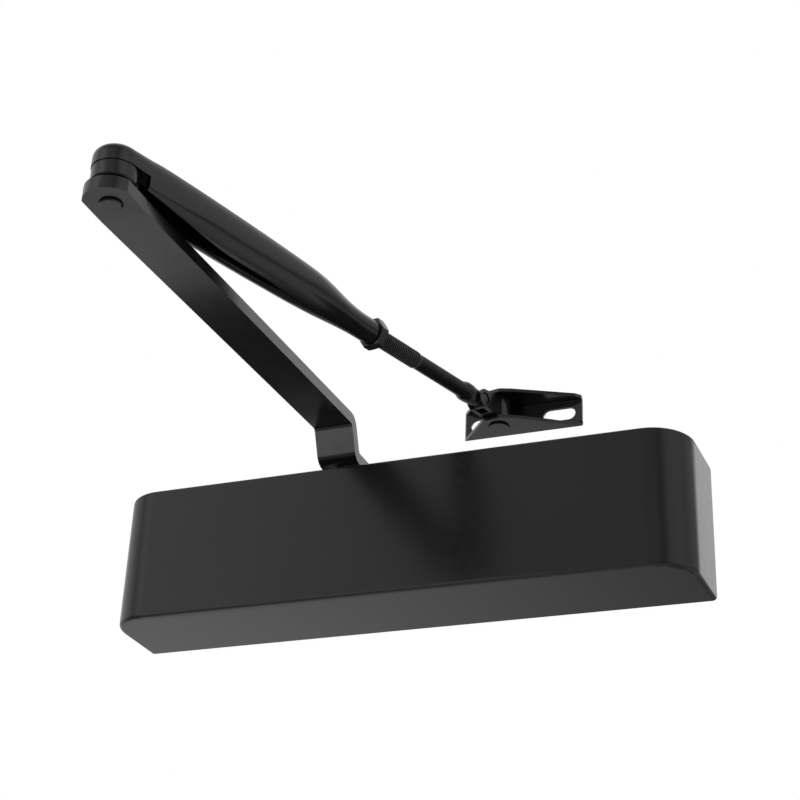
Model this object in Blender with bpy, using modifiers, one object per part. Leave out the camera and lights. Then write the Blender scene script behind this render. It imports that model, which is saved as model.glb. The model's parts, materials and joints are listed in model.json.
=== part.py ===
"""Overhead door closer with a folding two-arm linkage, built as its separate pieces.

Frame: metres, +Z up. The origin is the centre of the face that lies against the door, +X runs along the
body, +Y goes into the door and the cover's front is towards -Y. The arms are drawn with the door shut:
the main arm stands square to the door and the forearm comes back to the bracket on the door frame.
"""
import math

import bmesh
import bpy
import numpy as np
from mathutils import Matrix, Vector

GAP = 0.0003                      # running gap between neighbouring pieces

# Cover and housing
COVER_LENGTH = 0.2850             # across the front
COVER_HEIGHT = 0.0664
COVER_DEPTH = 0.0496
COVER_FLARE = 0.00145             # each end leans out this much towards the door
COVER_CORNER = 0.0200             # radius of the two upright front corners
COVER_RIM = {-1: 0.0020, 1: 0.0015}     # radius of the front edges at the bottom and at the top
COVER_WALL = 0.0014
HOUSING_HALF_LENGTH = 0.1290
HOUSING_HALF_HEIGHT = 0.0290
HOUSING_DEPTH = 0.0450
BORE_RADIUS = 0.0180
CROSS_BORE_RADIUS = 0.0130
FIXING_HOLE = (0.085, 0.0238, 0.0030)   # x, z and radius of the four holes for the door screws

# Spindle, rack and pinion
SPINDLE = Vector((-0.0285, -0.0250, 0.0))
PITCH_RADIUS = 0.0100
TEETH = 10
MODULE = 2 * PITCH_RADIUS / TEETH
RACK_ADDENDUM = 0.0016
RACK_DEDENDUM = 0.0023
PRESSURE_ANGLE = math.radians(20)
TOOTH_CLEARANCE = 0.00012
PINION_RADIUS = 0.0119
PINION_HALF_HEIGHT = 0.0110
SHAFT_RADIUS = 0.0070
SQUARE_HALF = 0.0049
PISTON_START = -0.0840            # the piston's left face with the door shut
PISTON_END = 0.0
RACK_SLOT = (-0.0725, -0.0145)    # x range of the slot that the pinion runs in

# Valves and cover clips
VALVE_BORE = 0.0032
VALVE_LENGTH = 0.0300
CLIP_Y = (-0.0300, -0.0220)
CLIP_SCREW_Z = 0.0235

# Main arm
ARM_WIDTH = 0.0198
ARM_THICKNESS = 0.0055
ARM_LOW_Z = 0.0395                # underside where it sits on the spindle
ARM_END_Z = 0.0472                # underside at the elbow
ELBOW = Vector((-0.0285, -0.2613, 0.0))
ELBOW_HOLE = 0.00475

# Forearm: a line from the elbow to the cross pin, which climbs a little
ROD_START = Vector((-0.0285, -0.2613, 0.0615))
CROSS_PIN = Vector((0.03896, -0.02889, 0.0697))
CHANNEL_HALF_WIDTH = 0.0092
CHANNEL_WALL = 0.0020
NECK_RADIUS = 0.00565
NECK_END = 0.1570                 # distances along the forearm, from the elbow
NUT_LENGTH = 0.0045
NUT_TURN = 30                     # degrees about the rod, from a flat square to the near side
THREAD_START = 0.1180
THREAD_END = 0.1920
THREAD_CORE = 0.0034              # under the thread's crests
THREAD_HOLE = 0.0042
SHANK_RADIUS = 0.0037

# Swivel block and bracket
PIVOT = Vector((0.0438, -0.0122, 0.0))
BARREL_RADIUS = 0.0059
BRACKET_LEFT = 0.0221
BRACKET_RIGHT = 0.0829
BRACKET_BOTTOM = 0.0629
BRACKET_TOP = 0.0790
BRACKET_SHEET = 0.0017
TRUNNION_HOLE = 0.00525

ROD_AXIS = (CROSS_PIN - ROD_START).normalized()
ROD_LENGTH = (CROSS_PIN - ROD_START).length
ALONG = Vector((ROD_AXIS.x, ROD_AXIS.y, 0)).normalized()     # the forearm's direction in plan
ACROSS = Vector((ALONG.y, -ALONG.x, 0))                      # square to it, towards +X
UP = Vector((0, 0, 1))
X_AXIS = Vector((1, 0, 0))
Y_AXIS = Vector((0, 1, 0))


# ---------------------------------------------------------------- helpers

def clear_scene():
    for old in list(bpy.data.objects):
        bpy.data.objects.remove(old, do_unlink=True)


def new_collection(name):
    collection = bpy.data.collections.new(name)
    bpy.context.scene.collection.children.link(collection)
    return collection


clear_scene()
PARTS = new_collection("door_closer")
CUTTERS = new_collection("cutters")


def material(name, colour, roughness, metallic):
    mat = bpy.data.materials.new(name)
    mat.use_nodes = True
    shader = mat.node_tree.nodes["Principled BSDF"]
    shader.inputs["Base Color"].default_value = (*colour, 1)
    shader.inputs["Roughness"].default_value = roughness
    shader.inputs["Metallic"].default_value = metallic
    return mat


MATERIALS = {
    "cover_black": material("cover_black", (0.020, 0.020, 0.021), 0.45, 0.0),
    "arm_black": material("arm_black", (0.022, 0.022, 0.024), 0.32, 0.0),
    "rod_black": material("rod_black", (0.035, 0.035, 0.037), 0.35, 0.6),
    "cast_aluminium": material("cast_aluminium", (0.62, 0.63, 0.64), 0.50, 1.0),
    "steel": material("steel", (0.50, 0.50, 0.51), 0.35, 1.0),
    "spring_steel": material("spring_steel", (0.30, 0.30, 0.32), 0.30, 1.0),
    "brass": material("brass", (0.72, 0.53, 0.25), 0.35, 1.0),
    "rubber": material("rubber", (0.02, 0.02, 0.02), 0.80, 0.0),
}


def place(name, mesh, slot, matrix=None):
    """A new part in the parts collection."""
    obj = bpy.data.objects.new(name, mesh)
    PARTS.objects.link(obj)
    if matrix is not None:
        obj.matrix_world = matrix
    mesh.materials.clear()
    mesh.materials.append(MATERIALS[slot])
    return obj


def as_tool(obj):
    """Turns a part into a cutter or a joining tool, which is not itself built."""
    for collection in list(obj.users_collection):
        collection.objects.unlink(obj)
    CUTTERS.objects.link(obj)
    obj.hide_render = True
    obj.display_type = "WIRE"
    return obj


def boolean(obj, tool, operation="DIFFERENCE"):
    modifier = obj.modifiers.new(operation.title(), "BOOLEAN")
    modifier.operation = operation
    modifier.solver = "EXACT"
    modifier.object = as_tool(tool)


def cut(obj, *tools):
    for tool in tools:
        boolean(obj, tool)


def join(obj, *tools):
    for tool in tools:
        boolean(obj, tool, "UNION")


def smooth(obj, angle=40):
    obj.data.shade_smooth()
    obj.data.set_sharp_from_angle(angle=math.radians(angle))


def frame_matrix(origin, x_dir, y_dir):
    """The placement whose local X and Y lie along the two given directions."""
    z_dir = x_dir.cross(y_dir)
    turn = Matrix((x_dir, y_dir, z_dir)).transposed().to_4x4()
    return Matrix.Translation(origin) @ turn


def axis_matrix(origin, axis):
    turn = UP.rotation_difference(axis.normalized()).to_matrix().to_4x4()
    return Matrix.Translation(origin) @ turn


def cylinder(name, radius, low, high, centre, slot="steel", axis=UP, segments=32, tip=None):
    """A cylinder, or a cone with tip as its far radius, from low to high along axis from centre."""
    bm = bmesh.new()
    bmesh.ops.create_cone(bm, cap_ends=True, segments=segments, radius1=radius,
                          radius2=radius if tip is None else tip, depth=high - low,
                          matrix=Matrix.Translation((0, 0, (low + high) / 2)))
    mesh = bpy.data.meshes.new(name)
    bm.to_mesh(mesh)
    bm.free()
    return place(name, mesh, slot, axis_matrix(centre, axis))


def box_mesh(name, low, high):
    low, high = Vector(low), Vector(high)
    bm = bmesh.new()
    size = Matrix.Diagonal((*(high - low), 1))
    bmesh.ops.create_cube(bm, size=1, matrix=Matrix.Translation((low + high) / 2) @ size)
    mesh = bpy.data.meshes.new(name)
    bm.to_mesh(mesh)
    bm.free()
    return mesh


def box(name, low, high, slot="steel", matrix=None):
    return place(name, box_mesh(name, low, high), slot, matrix)


def turned(name, profile, centre, slot, axis=UP, segments=32, ring=False):
    """A turned piece. The (radius, height) profile runs down its outer side, and a ring's closes up."""
    mesh = bpy.data.meshes.new(name)
    edges = [(i, i + 1) for i in range(len(profile) - 1)]
    if ring:
        edges.append((len(profile) - 1, 0))
    mesh.from_pydata([(radius, 0, height) for radius, height in profile], edges, [])
    obj = place(name, mesh, slot, axis_matrix(centre, axis))
    screw = obj.modifiers.new("Screw", "SCREW")
    screw.steps = segments
    screw.render_steps = segments
    screw.use_merge_vertices = True
    screw.merge_threshold = 0.00001
    screw.use_smooth_shade = False
    return obj


def ring_profile(inner, outer, low, high):
    return [(outer, high), (outer, low), (inner, low), (inner, high)]


def outline_solid(name, points, thickness, slot, matrix):
    """A flat outline in the local XY plane, thickened evenly to both sides of it."""
    curve = bpy.data.curves.new(name, "CURVE")
    curve.dimensions = "2D"
    curve.fill_mode = "BOTH"
    curve.extrude = thickness / 2
    spline = curve.splines.new("POLY")
    spline.points.add(len(points) - 1)
    for point, (x, y) in zip(spline.points, points):
        point.co = (x, y, 0, 1)
    spline.use_cyclic_u = True
    source = bpy.data.objects.new(name + "_outline", curve)
    PARTS.objects.link(source)
    bpy.context.view_layer.update()
    evaluated = source.evaluated_get(bpy.context.evaluated_depsgraph_get())
    mesh = bpy.data.meshes.new_from_object(evaluated)
    bpy.data.objects.remove(source, do_unlink=True)
    bm = bmesh.new()
    bm.from_mesh(mesh)
    bmesh.ops.remove_doubles(bm, verts=bm.verts, dist=0.000002)
    bmesh.ops.recalc_face_normals(bm, faces=bm.faces)
    bm.to_mesh(mesh)
    bm.free()
    mesh.name = name
    return place(name, mesh, slot, matrix)


def arc(centre, radius, start, end, steps):
    """Points on an arc in plan, with its angles in degrees."""
    angles = [math.radians(start + (end - start) * i / steps) for i in range(steps + 1)]
    return [(centre[0] + radius * math.cos(a), centre[1] + radius * math.sin(a)) for a in angles]


def rounded_path(points, radii, steps=6):
    """An open path whose inner corners are replaced by arcs of the given radii."""
    points = [Vector(p) for p in points]
    path = [points[0]]
    for before, corner, after, radius in zip(points, points[1:], points[2:], radii):
        into = (corner - before).normalized()
        out = (after - corner).normalized()
        turn = into.angle_signed(out)
        reach = radius * math.tan(abs(turn) / 2)
        start = corner - into * reach
        side = Vector((-into.y, into.x)) * (-1 if turn > 0 else 1)
        centre = start + side * radius
        for i in range(steps + 1):
            spoke = Matrix.Rotation(-turn * i / steps, 2) @ (start - centre)
            path.append(centre + spoke)
    path.append(points[-1])
    return path


def thickened(path, thickness):
    """A closed outline: the path, and back along its copy at one thickness to its left."""
    offset = []
    for i, point in enumerate(path):
        before = (path[i] - path[i - 1]).normalized() if i else None
        after = (path[i + 1] - path[i]).normalized() if i < len(path) - 1 else None
        before, after = before or after, after or before
        bisector = (Vector((-before.y, before.x)) + Vector((-after.y, after.x))).normalized()
        stretch = 1 / max(0.3, bisector.dot(Vector((-before.y, before.x))))
        offset.append(point + bisector * thickness * stretch)
    return list(path) + offset[::-1]


def blend(value, stations):
    """The amount at a position, on a smooth curve through (position, amount) stations."""
    slopes = [(a1 - a0) / (p1 - p0) for (p0, a0), (p1, a1) in zip(stations, stations[1:])]
    if value <= stations[0][0]:
        return stations[0][1]
    for i, ((p0, a0), (p1, a1)) in enumerate(zip(stations, stations[1:])):
        if value <= p1:
            start = steady_slope(slopes[i - 1] if i else 0, slopes[i])
            end = steady_slope(slopes[i], slopes[i + 1] if i + 1 < len(slopes) else 0)
            span = p1 - p0
            t = (value - p0) / span
            rise = t * t * (3 - 2 * t)
            return (a0 + (a1 - a0) * rise + start * span * t * (1 - t) ** 2
                    - end * span * t * t * (1 - t))
    return stations[-1][1]


def steady_slope(before, after):
    """A slope for a station that keeps the curve from overshooting it."""
    if before * after <= 0:
        return 0
    return 2 * before * after / (before + after)


def loft(name, sections, slot, matrix):
    """A closed solid through rings of points that all have the same count."""
    bm = bmesh.new()
    rings = [[bm.verts.new(point) for point in section] for section in sections]
    count = len(rings[0])
    for low, high in zip(rings, rings[1:]):
        for i in range(count):
            j = (i + 1) % count
            bm.faces.new((low[i], low[j], high[j], high[i]))
    bm.faces.new(rings[0][::-1])
    bm.faces.new(rings[-1])
    bmesh.ops.recalc_face_normals(bm, faces=bm.faces)
    mesh = bpy.data.meshes.new(name)
    bm.to_mesh(mesh)
    bm.free()
    return place(name, mesh, slot, matrix)


# ---------------------------------------------------------------- cover and housing

def make_cover():
    half, depth, height = COVER_LENGTH / 2, COVER_DEPTH, COVER_HEIGHT / 2
    mesh = box_mesh("cover", (-half, -depth, -height), (half, 0, height))
    bm = bmesh.new()
    bm.from_mesh(mesh)
    near = 0.00001
    for vert in bm.verts:
        if vert.co.y > -near:
            vert.co.x += math.copysign(COVER_FLARE, vert.co.x)
    corners = [e for e in bm.edges if all(v.co.y < -depth + near for v in e.verts)
               and abs(e.verts[0].co.x - e.verts[1].co.x) < near]
    bmesh.ops.bevel(bm, geom=corners, offset=COVER_CORNER, offset_type="OFFSET", segments=10,
                    profile=0.5, affect="EDGES", clamp_overlap=True)
    for side in (-1, 1):
        rim = [e for e in bm.edges
               if all(abs(v.co.z - side * height) < near for v in e.verts)
               and not all(v.co.y > -near for v in e.verts)]
        bmesh.ops.bevel(bm, geom=rim, offset=COVER_RIM[side], offset_type="OFFSET", segments=3,
                        profile=0.5, affect="EDGES", clamp_overlap=True)
    back = [f for f in bm.faces if all(v.co.y > -near for v in f.verts)]
    bmesh.ops.delete(bm, geom=back, context="FACES")
    bm.to_mesh(mesh)
    bm.free()
    cover = place("cover", mesh, "cover_black")
    shell = cover.modifiers.new("Solidify", "SOLIDIFY")
    shell.thickness = COVER_WALL
    shell.offset = -1
    shell.use_even_offset = True
    notch = 0.0150
    cut(cover,
        cylinder("notch_end", notch, 0.026, 0.040, SPINDLE, segments=32),
        box("notch_run", (SPINDLE.x - notch, SPINDLE.y, 0.026), (SPINDLE.x + notch, 0.005, 0.040)))
    smooth(cover, 30)
    return cover


def make_housing():
    length, height, depth = HOUSING_HALF_LENGTH, HOUSING_HALF_HEIGHT, HOUSING_DEPTH
    mesh = box_mesh("housing", (-length, -depth, -height), (length, 0, height))
    bm = bmesh.new()
    bm.from_mesh(mesh)
    front = [e for e in bm.edges if all(v.co.y < -depth + 0.00001 for v in e.verts)]
    bmesh.ops.bevel(bm, geom=front, offset=0.003, offset_type="OFFSET", segments=2, profile=0.5,
                    affect="EDGES", clamp_overlap=True)
    bm.to_mesh(mesh)
    bm.free()
    housing = place("housing", mesh, "cast_aluminium")
    bore_centre = Vector((0, SPINDLE.y, 0))
    cut(housing,
        cylinder("main_bore", BORE_RADIUS, -0.14, 0.14, bore_centre, axis=X_AXIS, segments=48),
        cylinder("cross_bore", CROSS_BORE_RADIUS, -0.04, 0.04, SPINDLE, segments=40))
    hole_x, hole_z, hole_r = FIXING_HOLE
    for side in (-1, 1):
        for rise in (-1, 1):
            centre = Vector((side * hole_x, 0, rise * hole_z))
            cut(housing, cylinder("fixing_hole", hole_r, -0.06, 0.01, centre, axis=Y_AXIS, segments=16))
            clip = Vector((side * length, sum(CLIP_Y) / 2, rise * CLIP_SCREW_Z))
            cut(housing, cylinder("clip_hole", 0.0017, -0.009, 0.009, clip, axis=X_AXIS, segments=10))
    for side, rise in ((-1, 1), (-1, -1), (1, 1)):
        mouth = valve_mouth(side, rise)
        cut(housing, cylinder("valve_bore", VALVE_BORE, -VALVE_LENGTH, 0.01, mouth,
                              axis=X_AXIS * side, segments=16))
        port = mouth - X_AXIS * side * 0.027
        cut(housing, cylinder("valve_port", 0.0011, 0, 0.012, port, segments=8,
                              axis=bore_centre - Vector((0, mouth.y, mouth.z))))
    smooth(housing, 30)
    return housing


def valve_mouth(side, rise):
    """Where a valve's bore opens in the housing's end face."""
    return Vector((side * HOUSING_HALF_LENGTH, -0.0090, rise * 0.0215))


def make_valve(name, side, rise):
    """A needle screw: slotted head, threaded body and a thin tip that closes on the port."""
    mouth = valve_mouth(side, rise)
    body, waist, tip = 0.0029, 0.0022, 0.0008
    profile = [(0, -0.0010), (body, -0.0010), (body, -0.0110), (waist, -0.0118), (waist, -0.0230),
               (tip, -0.0275), (0, -0.0275)]
    valve = turned(name, profile, mouth, "brass", axis=X_AXIS * side, segments=16)
    slot = box("slot", (-0.0005, -0.004, -0.0022), (0.0005, 0.004, 0.001),
               matrix=axis_matrix(mouth, X_AXIS * side))
    cut(valve, slot)
    smooth(valve, 50)
    return valve


def make_clip(name, side):
    """A sprung strip over the housing's end that the cover's end wall snaps on to."""
    foot, bulge = 0.1293, 0.1396
    points = [(foot, -0.0275), (foot, -0.0195), (bulge, -0.0110), (bulge, 0.0110), (foot, 0.0195),
              (foot, 0.0275)]
    strip = thickened(rounded_path(points[::-1], [0.002] * 4, steps=3), 0.0009)
    outline = [(side * x, z) for x, z in strip]
    middle = sum(CLIP_Y) / 2
    clip = outline_solid(name, outline, CLIP_Y[1] - CLIP_Y[0], "spring_steel",
                         frame_matrix(Vector((0, middle, 0)), X_AXIS, UP))
    for rise in (-1, 1):
        centre = Vector((0, middle, rise * CLIP_SCREW_Z))
        cut(clip, cylinder("clip_hole", 0.0018, 0.125, 0.135, centre, axis=X_AXIS * side, segments=12))
    return clip


def make_clip_screw(name, side, rise):
    centre = Vector((side * 0.1305, sum(CLIP_Y) / 2, rise * CLIP_SCREW_Z))
    profile = [(0, 0.0018), (0.0018, 0.0017), (0.0028, 0.0010), (0.0028, 0), (0.0014, 0),
               (0.0014, -0.0090), (0, -0.0090)]
    screw = turned(name, profile, centre, "steel", axis=X_AXIS * side, segments=16)
    cut(screw, box("slot", (-0.0004, -0.004, 0.0010), (0.0004, 0.004, 0.003),
                   matrix=axis_matrix(centre, X_AXIS * side)))
    return screw


def make_end_cap(name, side):
    """A threaded plug with a groove for its O-ring. The right one carries the power screw."""
    outer, groove = BORE_RADIUS - GAP, 0.0152
    mouth = Vector((side * HOUSING_HALF_LENGTH, SPINDLE.y, 0))
    edge, deep = -0.0002, -0.0150
    if side < 0:
        profile = [(0, edge), (outer, edge), (outer, -0.0095), (groove, -0.0095), (groove, -0.0125),
                   (outer, -0.0125), (outer, deep), (0, deep)]
        cap = turned(name, profile, mouth, "steel", axis=-X_AXIS, segments=40)
        cut(cap, cylinder("hex", 0.0050, -0.0060, 0.001, mouth, axis=-X_AXIS, segments=6))
    else:
        hole = 0.0043
        profile = [(outer, edge), (outer, -0.0095), (groove, -0.0095), (groove, -0.0125),
                   (outer, -0.0125), (outer, deep), (hole, deep), (hole, edge)]
        cap = turned(name, profile, mouth, "steel", axis=X_AXIS, segments=40, ring=True)
        for angle in (0, 180):
            spoke = Vector((0, math.cos(math.radians(angle)), math.sin(math.radians(angle))))
            cut(cap, cylinder("key_hole", 0.0016, -0.0050, 0.001, mouth + spoke * 0.0110,
                              axis=X_AXIS, segments=12))
    smooth(cap, 30)
    return cap


def make_o_ring(name, side):
    bpy.ops.mesh.primitive_torus_add(major_segments=32, minor_segments=8, major_radius=0.0166,
                                     minor_radius=0.0011)
    ring = bpy.context.object
    mesh = ring.data
    bpy.data.objects.remove(ring, do_unlink=True)
    mesh.name = name
    centre = Vector((side * (HOUSING_HALF_LENGTH - 0.0110), SPINDLE.y, 0))
    ring = place(name, mesh, "rubber", axis_matrix(centre, X_AXIS))
    smooth(ring, 80)
    return ring


# ---------------------------------------------------------------- inside the bore

def rack_corners():
    """The corners of one rack tooth, from space to space."""
    pitch = math.pi * MODULE
    tip = pitch / 4 - RACK_ADDENDUM * math.tan(PRESSURE_ANGLE)
    root = pitch / 4 + RACK_DEDENDUM * math.tan(PRESSURE_ANGLE)
    return [(-root, -RACK_DEDENDUM), (-tip, RACK_ADDENDUM), (tip, RACK_ADDENDUM), (root, -RACK_DEDENDUM)]


def pinion_outline():
    """The pinion's outline: what is left of a round blank when the rack has rolled past it.

    The rack moves one pitch radius per radian. For each direction from the centre, the outline is as far
    out as it can be while it stays one clearance off the rack at every turn.
    """
    per_tooth = 24
    reach = np.linspace(SHAFT_RADIUS, PINION_RADIUS, 260)
    turns = np.radians(np.arange(-30, 30.1, 0.5))
    radii = []
    for i in range(per_tooth):
        nearest = PINION_RADIUS
        for tooth in range(TEETH):
            start = 2 * math.pi * (i / per_tooth + tooth) / TEETH
            for turn in turns:
                angle = (start + turn + math.pi) % (2 * math.pi) - math.pi
                if abs(angle + math.pi / 2) > 0.85:
                    continue
                along = reach * math.cos(angle) - PITCH_RADIUS * turn
                depth = -reach * math.sin(angle) - PITCH_RADIUS
                inside = depth > -rack_height(along)
                if inside.any():
                    nearest = min(nearest, reach[inside.argmax()])
        radii.append(nearest)
    count = per_tooth * TEETH
    angles = [2 * math.pi * i / count for i in range(count)]
    return [(radii[i % per_tooth] * math.cos(a), radii[i % per_tooth] * math.sin(a))
            for i, a in enumerate(angles)]


def rack_height(along):
    """Height of the rack's teeth above the pitch line, with each tooth one clearance fatter."""
    pitch = math.pi * MODULE
    away = np.abs((along + pitch / 2) % pitch - pitch / 2)
    fatter = TOOTH_CLEARANCE / math.sin(PRESSURE_ANGLE)
    height = (pitch / 4 - away) / math.tan(PRESSURE_ANGLE) + fatter
    return np.clip(height, -RACK_DEDENDUM, RACK_ADDENDUM + TOOTH_CLEARANCE)


def make_piston():
    radius = BORE_RADIUS - GAP
    centre = Vector((0, SPINDLE.y, 0))
    piston = cylinder("piston", radius, PISTON_START, PISTON_END, centre, "steel", X_AXIS, 48)
    pitch = math.pi * MODULE
    pitch_line = SPINDLE.y - PITCH_RADIUS
    low, high = RACK_SLOT
    back = SPINDLE.y + PINION_RADIUS + 0.0008
    front = pitch_line - RACK_DEDENDUM
    outline = [(low, back), (low, front)]
    for tooth in range(-6, 2):
        middle = SPINDLE.x + tooth * pitch
        corners = [(middle + x, pitch_line + y) for x, y in rack_corners()]
        if corners[0][0] > low and corners[-1][0] < high:
            outline += corners
    outline += [(high, front), (high, back)]
    slot = outline_solid("rack_slot", outline, 0.05, "steel", Matrix.Identity(4))
    pocket = Vector((PISTON_START, SPINDLE.y, 0))
    relief = CROSS_BORE_RADIUS
    for side in (-1, 1):
        near, far = sorted((side * 0.0113, side * 0.0200))
        cut(piston, box("bearing_relief", (low, SPINDLE.y - relief, near), (high, SPINDLE.y + relief, far)))
    cut(piston, slot,
        cylinder("ball_pocket", 0.0032, -0.001, 0.0075, pocket, axis=X_AXIS, segments=20),
        cylinder("ball_port", 0.0015, 0.005, 0.015, pocket, axis=X_AXIS, segments=12),
        cylinder("spring_spigot", 0.0100, -0.0100, 0.0010, centre, axis=X_AXIS, segments=24))
    smooth(piston, 30)
    return piston


def make_check_ball():
    bm = bmesh.new()
    bmesh.ops.create_uvsphere(bm, u_segments=16, v_segments=10, radius=0.0026)
    mesh = bpy.data.meshes.new("check_ball")
    bm.to_mesh(mesh)
    bm.free()
    centre = Vector((PISTON_START + 0.0046, SPINDLE.y, 0))
    ball = place("check_ball", mesh, "steel", Matrix.Translation(centre))
    smooth(ball, 80)
    return ball


def make_spring():
    """A round-wire helix between the piston's face and the spring plate."""
    wire, radius, turns, per_turn = 0.0024, 0.0140, 10, 12
    start, end = PISTON_END + wire + GAP, 0.1010 - wire - GAP
    curve = bpy.data.curves.new("main_spring", "CURVE")
    curve.dimensions = "3D"
    curve.bevel_depth = wire
    curve.bevel_resolution = 2
    curve.use_fill_caps = True
    spline = curve.splines.new("POLY")
    count = turns * per_turn + 1
    spline.points.add(count - 1)
    for i, point in enumerate(spline.points):
        angle = 2 * math.pi * i / per_turn
        x = start + (end - start) * i / (count - 1)
        point.co = (x, SPINDLE.y + radius * math.cos(angle), radius * math.sin(angle), 1)
    source = bpy.data.objects.new("main_spring_wire", curve)
    PARTS.objects.link(source)
    bpy.context.view_layer.update()
    evaluated = source.evaluated_get(bpy.context.evaluated_depsgraph_get())
    mesh = bpy.data.meshes.new_from_object(evaluated)
    bpy.data.objects.remove(source, do_unlink=True)
    bm = bmesh.new()
    bm.from_mesh(mesh)
    bmesh.ops.remove_doubles(bm, verts=bm.verts, dist=0.000002)
    bmesh.ops.recalc_face_normals(bm, faces=bm.faces)
    bm.to_mesh(mesh)
    bm.free()
    spring = place("main_spring", mesh, "spring_steel")
    smooth(spring, 60)
    return spring


def make_spring_plate():
    centre = Vector((0.1010, SPINDLE.y, 0))
    outer, inner, nose = 0.0172, 0.0043, 0.0108
    profile = [(outer, 0.0050), (outer, 0), (nose, 0), (nose, -0.0030), (inner, -0.0030),
               (inner, 0.0050)]
    plate = turned("spring_plate", profile, centre, "steel", axis=X_AXIS, segments=32, ring=True)
    smooth(plate, 30)
    return plate


def make_power_screw():
    """The thread that the spring plate climbs, with a collar behind the right end cap."""
    mouth = Vector((HOUSING_HALF_LENGTH, SPINDLE.y, 0))
    shaft, collar = 0.0040, 0.0070
    profile = [(0, -0.0010), (shaft, -0.0010), (shaft, -0.0153), (collar, -0.0153),
               (collar, -0.0185), (shaft, -0.0185), (shaft, -0.0640), (0.0030, -0.0650), (0, -0.0650)]
    screw = turned("power_screw", profile, mouth, "steel", axis=X_AXIS, segments=24)
    cut(screw, cylinder("hex", 0.0024, -0.0060, 0.001, mouth, axis=X_AXIS, segments=6))
    smooth(screw, 40)
    return screw


# ---------------------------------------------------------------- spindle

def make_pinion_shaft():
    teeth = outline_solid("pinion_shaft", pinion_outline(), 2 * PINION_HALF_HEIGHT, "steel",
                          Matrix.Translation(SPINDLE))
    radius = SHAFT_RADIUS
    shoulder = ARM_LOW_Z - GAP
    journal = [(0, shoulder), (radius, shoulder), (radius, -0.0235), (0.0060, -0.0242), (0, -0.0242)]
    shaft = turned("journals", journal, SPINDLE, "steel", segments=32)
    square = box("square", (-SQUARE_HALF, -SQUARE_HALF, 0.0300), (SQUARE_HALF, SQUARE_HALF, 0.0446),
                 matrix=Matrix.Translation(SPINDLE))
    join(teeth, shaft, square)
    cut(teeth, cylinder("thread", 0.0033, 0.0300, 0.0500, SPINDLE, segments=20))
    return teeth


def make_bearing(name, side):
    low, high = sorted((side * 0.0116, side * 0.0181))
    ring = turned(name, ring_profile(SHAFT_RADIUS + GAP, CROSS_BORE_RADIUS - GAP, low, high), SPINDLE,
                  "steel", segments=32, ring=True)
    smooth(ring, 30)
    return ring


def make_gland_cap(name, side):
    """The screwed cap over a bearing. The top one lets the spindle through and holds its seal."""
    outer, inner, face = CROSS_BORE_RADIUS - GAP, SHAFT_RADIUS + GAP, 0.0290
    if side > 0:
        seal = 0.0103
        profile = [(outer, face), (outer, 0.0184), (inner, 0.0184), (inner, 0.0250), (seal, 0.0250),
                   (seal, face)]
        cap = turned(name, profile, SPINDLE, "steel", segments=32, ring=True)
    else:
        profile = [(outer, -0.0184), (outer, -face), (0, -face)]
        blind = [(0, -0.0246), (inner, -0.0246), (inner, -0.0184)]
        cap = turned(name, blind + profile, SPINDLE, "steel", segments=32)
        cut(cap, cylinder("hex", 0.0050, -0.030, -0.0262, SPINDLE, segments=6))
    smooth(cap, 30)
    return cap


def make_shaft_seal():
    profile = ring_profile(SHAFT_RADIUS + GAP, 0.0100, 0.0253, 0.0288)
    seal = turned("shaft_seal", profile, SPINDLE, "rubber", segments=32, ring=True)
    smooth(seal, 30)
    return seal


# ---------------------------------------------------------------- main arm

def arm_side_path():
    """The underside of the arm in the YZ plane, from the spindle out to the elbow."""
    points = [(-0.0140, ARM_LOW_Z), (-0.0416, ARM_LOW_Z), (-0.0486, 0.0559), (-0.2517, ARM_END_Z),
              (-0.2740, ARM_END_Z)]
    return rounded_path(points, [0.0068, 0.0022, 0.0300])


def arm_plan():
    """The arm from above: a straight bar, its elbow end struck from a radius wider than the bar."""
    half, elbow_radius, spindle_radius = ARM_WIDTH / 2, 0.0111, 0.0108
    spread = math.degrees(math.asin(half / elbow_radius))
    elbow_end = arc(ELBOW, elbow_radius, -90 - spread, -90 + spread, 12)
    spread = math.degrees(math.asin(half / spindle_radius))
    return elbow_end + arc(SPINDLE, spindle_radius, 90 - spread, 90 + spread, 8)


def make_main_arm():
    side = thickened([Vector((-y, z)) for y, z in arm_side_path()], ARM_THICKNESS)
    middle = Vector((SPINDLE.x, 0, 0))
    arm = outline_solid("main_arm", side, 0.03, "arm_black", frame_matrix(middle, -Y_AXIS, UP))
    plan = outline_solid("arm_plan", arm_plan(), 0.05, "arm_black", Matrix.Translation((0, 0, 0.050)))
    boolean(arm, plan, "INTERSECT")
    hole = SQUARE_HALF + GAP
    cut(arm,
        box("square_hole", (-hole, -hole, 0.030), (hole, hole, 0.052), matrix=Matrix.Translation(SPINDLE)),
        cylinder("elbow_hole", ELBOW_HOLE, 0.040, 0.060, ELBOW, segments=32))
    smooth(arm, 25)
    return arm


WASHER_TOP = 0.0015               # above the arm


def make_arm_washer():
    top = ARM_LOW_Z + ARM_THICKNESS
    washer = turned("arm_washer", ring_profile(0.0033, 0.0080, top + GAP, top + WASHER_TOP), SPINDLE, "steel",
                    segments=24, ring=True)
    smooth(washer, 30)
    return washer


def make_arm_screw():
    seat = ARM_LOW_Z + ARM_THICKNESS + WASHER_TOP + GAP
    profile = [(0, seat + 0.0030), (0.0052, seat + 0.0030), (0.0060, seat + 0.0022), (0.0060, seat),
               (0.0030, seat), (0.0030, 0.0310), (0, 0.0310)]
    screw = turned("arm_screw", profile, SPINDLE, "arm_black", segments=24)
    cut(screw, cylinder("hex", 0.0029, seat + 0.0006, seat + 0.01, SPINDLE, segments=6))
    smooth(screw, 40)
    return screw


# ---------------------------------------------------------------- elbow and forearm

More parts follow.
